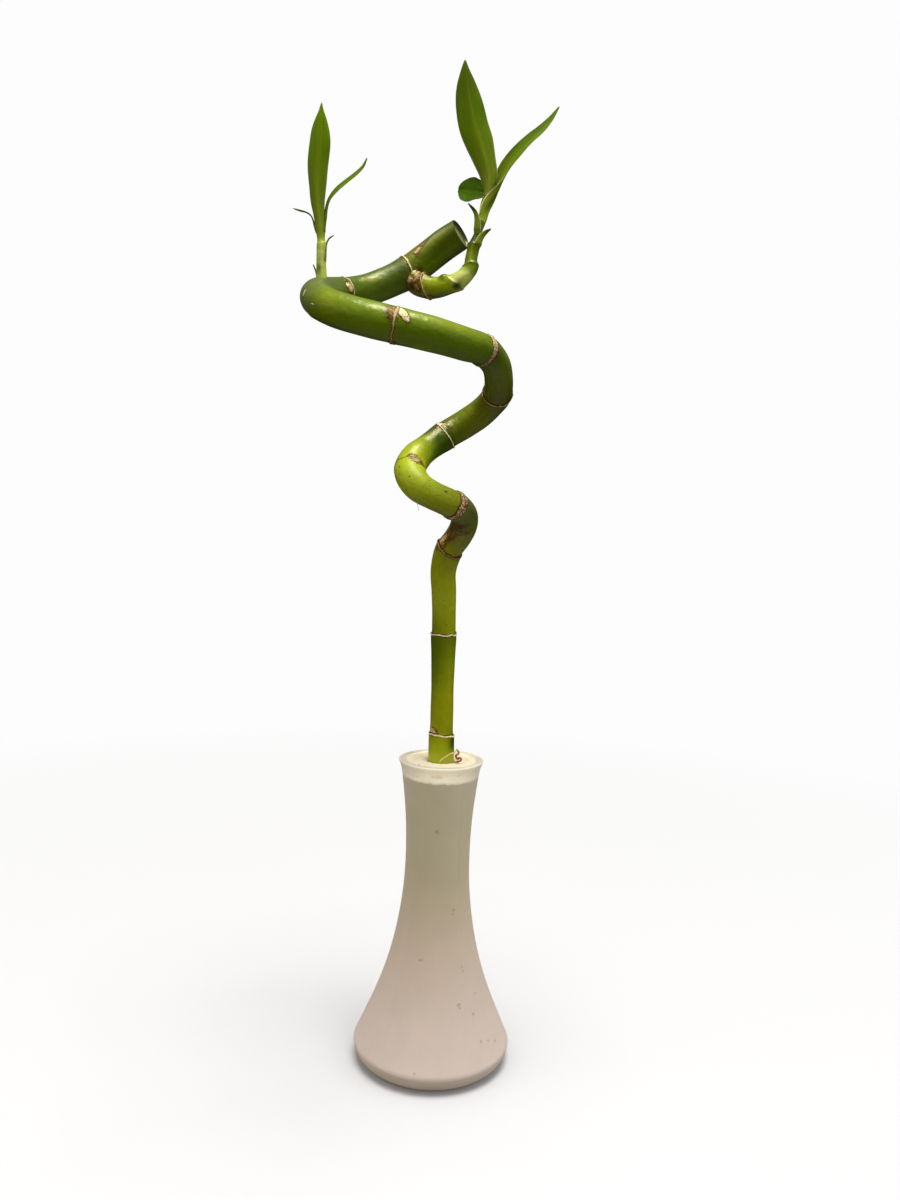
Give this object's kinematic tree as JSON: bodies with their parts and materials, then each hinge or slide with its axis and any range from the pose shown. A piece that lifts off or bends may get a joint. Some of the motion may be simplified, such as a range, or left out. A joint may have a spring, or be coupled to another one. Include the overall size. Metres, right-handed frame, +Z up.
{
  "type": "potted spiral cane plant",
  "caption": "Lucky bamboo: a spiral-trained ringed cane with a leafy shoot at each end of its top coil, held by a foam plug in a frosted bell-footed bud vase.",
  "frame": {"origin": "centre of the vase's flat foot, on the surface that it stands on", "axes": "+Z up along the vase's axis, +X to the right and -Y towards a viewer who sees the two shoots left and right"},
  "size_m": [0.1005, 0.1015, 0.4114],
  "materials": {
    "frosted_glass": "frosted, milky",
    "foam": "matt open foam",
    "cane": "waxy green rind, tan node rings",
    "shoot": "soft green, satin",
    "leaf": "satin leaf blade",
    "pale_root": "matt, fibrous",
    "brown_root": "matt, fibrous"
  },
  "bodies": {
    "root": {"vase": "frosted_glass", "foam_plug": "foam", "stalk": "cane", "left_shoot_stem": "shoot", "right_shoot_stem": "shoot", "left_leaf_main": "leaf", "left_leaf_narrow": "leaf", "left_leaf_dry": "leaf", "left_bract": "leaf", "left_base_scale": "leaf", "right_leaf_main": "leaf", "right_leaf_narrow": "leaf", "right_leaf_round": "leaf", "right_bract_left": "leaf", "right_bract_right": "leaf", "plug_root_pale": "pale_root", "plug_root_brown": "brown_root", "foot_root_1": "pale_root", "foot_root_2": "pale_root", "foot_root_3": "pale_root", "foot_root_4": "pale_root", "foot_root_5": "pale_root"}
  },
  "joints": []
}
